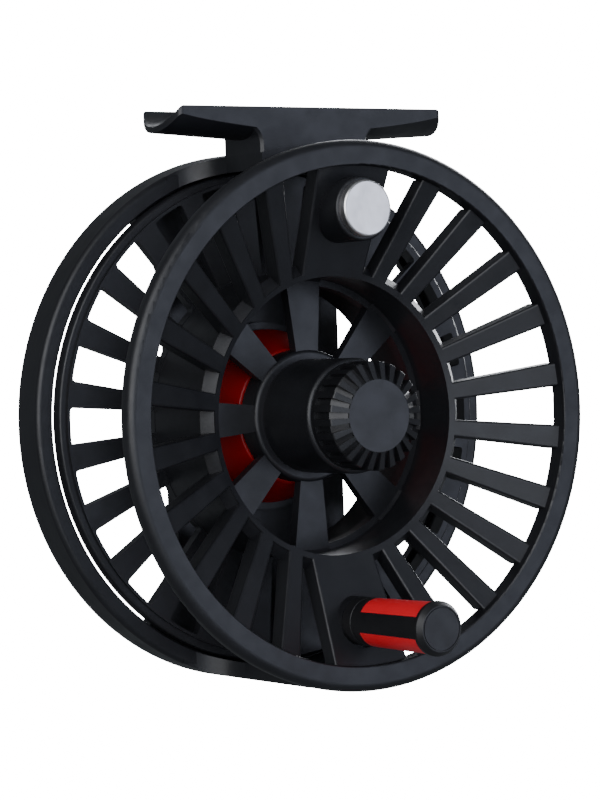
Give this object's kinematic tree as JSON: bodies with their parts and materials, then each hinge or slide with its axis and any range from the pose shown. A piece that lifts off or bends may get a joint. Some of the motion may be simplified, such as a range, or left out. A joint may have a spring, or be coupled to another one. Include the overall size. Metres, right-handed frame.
{
  "type": "fly reel",
  "caption": "Large-arbor fly fishing reel: spoked spool with side handle and counterweight, ring frame with rod foot, closed disc drag and rear drag knob.",
  "frame": {"origin": "on the axis of the rod seat that the saddle foot clamps to, at the middle of the foot", "axes": "+X along the rod, -Y to the handle side of the reel along the spindle, +Z from the spindle up to the rod"},
  "size_m": [0.1026, 0.0717, 0.1097],
  "materials": {
    "black_composite": "fine satin texture, moulded",
    "black_frame": "fine satin texture, moulded",
    "foot_black": "fine satin texture, moulded",
    "red_anodised": "satin",
    "red_plastic": "satin",
    "grip_black": "matt",
    "knob_black": "fine satin texture",
    "polished_steel": "satin, finely turned",
    "screw_steel": "satin",
    "brass": "machined",
    "bronze": "sintered",
    "friction_lining": "woven lining",
    "aluminium": "machined",
    "spring_steel": "blued",
    "seal_rubber": "matt"
  },
  "bodies": {
    "frame": {"frame": "black_frame", "reel_foot": "foot_black", "foot_screws": "screw_steel", "drag_housing": "red_anodised", "housing_screws": "screw_steel", "drum_seal": "seal_rubber", "front_bush": "bronze", "friction_washer_front": "friction_lining", "friction_washer_rear": "friction_lining", "pressure_plate": "aluminium", "spring_washers": "spring_steel", "pawl_pin": "screw_steel", "click_spring": "spring_steel"},
    "spindle_group": {"spindle": "polished_steel", "drag_rotor": "aluminium", "clutch_bearing": "screw_steel", "spindle_clip": "spring_steel", "drive_hub": "aluminium", "click_ratchet": "brass"},
    "spool_group": {"spool": "black_composite", "hub_insert": "brass", "counterweight": "polished_steel", "handle_pin": "screw_steel", "release_ring": "spring_steel", "handle_screw": "screw_steel"},
    "handle": {"handle_grip": "grip_black", "handle_inlays": "red_plastic", "handle_end_cap": "grip_black"},
    "release": {"release_knob": "knob_black", "release_insert": "brass"},
    "drag_adjuster": {"drag_knob": "knob_black", "knob_stem": "aluminium", "knob_screw": "screw_steel", "rear_bush": "bronze"},
    "thrust": {"thrust_nut": "aluminium"},
    "pawl": {"click_pawl": "spring_steel"}
  },
  "joints": [
    {"name": "spool_spin", "type": "hinge", "parent": "frame", "child": "spindle_group", "pos_m": [0, 0.0017, -0.0631], "axis": [0, -1, 0], "continuous": true},
    {"name": "spool_removal", "type": "slide", "parent": "spindle_group", "child": "spool_group", "axis": [0, -1, 0], "range_m": [0, 0.045]},
    {"name": "handle_spin", "type": "hinge", "parent": "spool_group", "child": "handle", "pos_m": [0, -0.0283, -0.1015], "axis": [0, -1, 0], "continuous": true},
    {"name": "release_turn", "type": "hinge", "parent": "spool_group", "child": "release", "pos_m": [0, -0.0183, -0.0631], "axis": [0, -1, 0], "range_deg": [0, 720]},
    {"name": "drag_turn", "type": "hinge", "parent": "frame", "child": "drag_adjuster", "pos_m": [0, 0.0217, -0.0631], "axis": [0, 1, 0], "range_deg": [0, 330]},
    {"name": "thrust_travel", "type": "slide", "parent": "frame", "child": "thrust", "axis": [0, -1, 0], "range_m": [0, 0.00093], "deforming": ["spring_washers"]},
    {"name": "pawl_swing", "type": "hinge", "parent": "frame", "child": "pawl", "pos_m": [0.00856, 0.0024, -0.06765], "axis": [0, -1, 0], "range_deg": [-6, 0], "stiffness_Nm_per_rad": 0.05, "deforming": ["click_spring"]}
  ],
  "couplings": [
    {"joint": "thrust_travel", "follows": "drag_turn", "m_per_rad": 0.00015915}
  ]
}
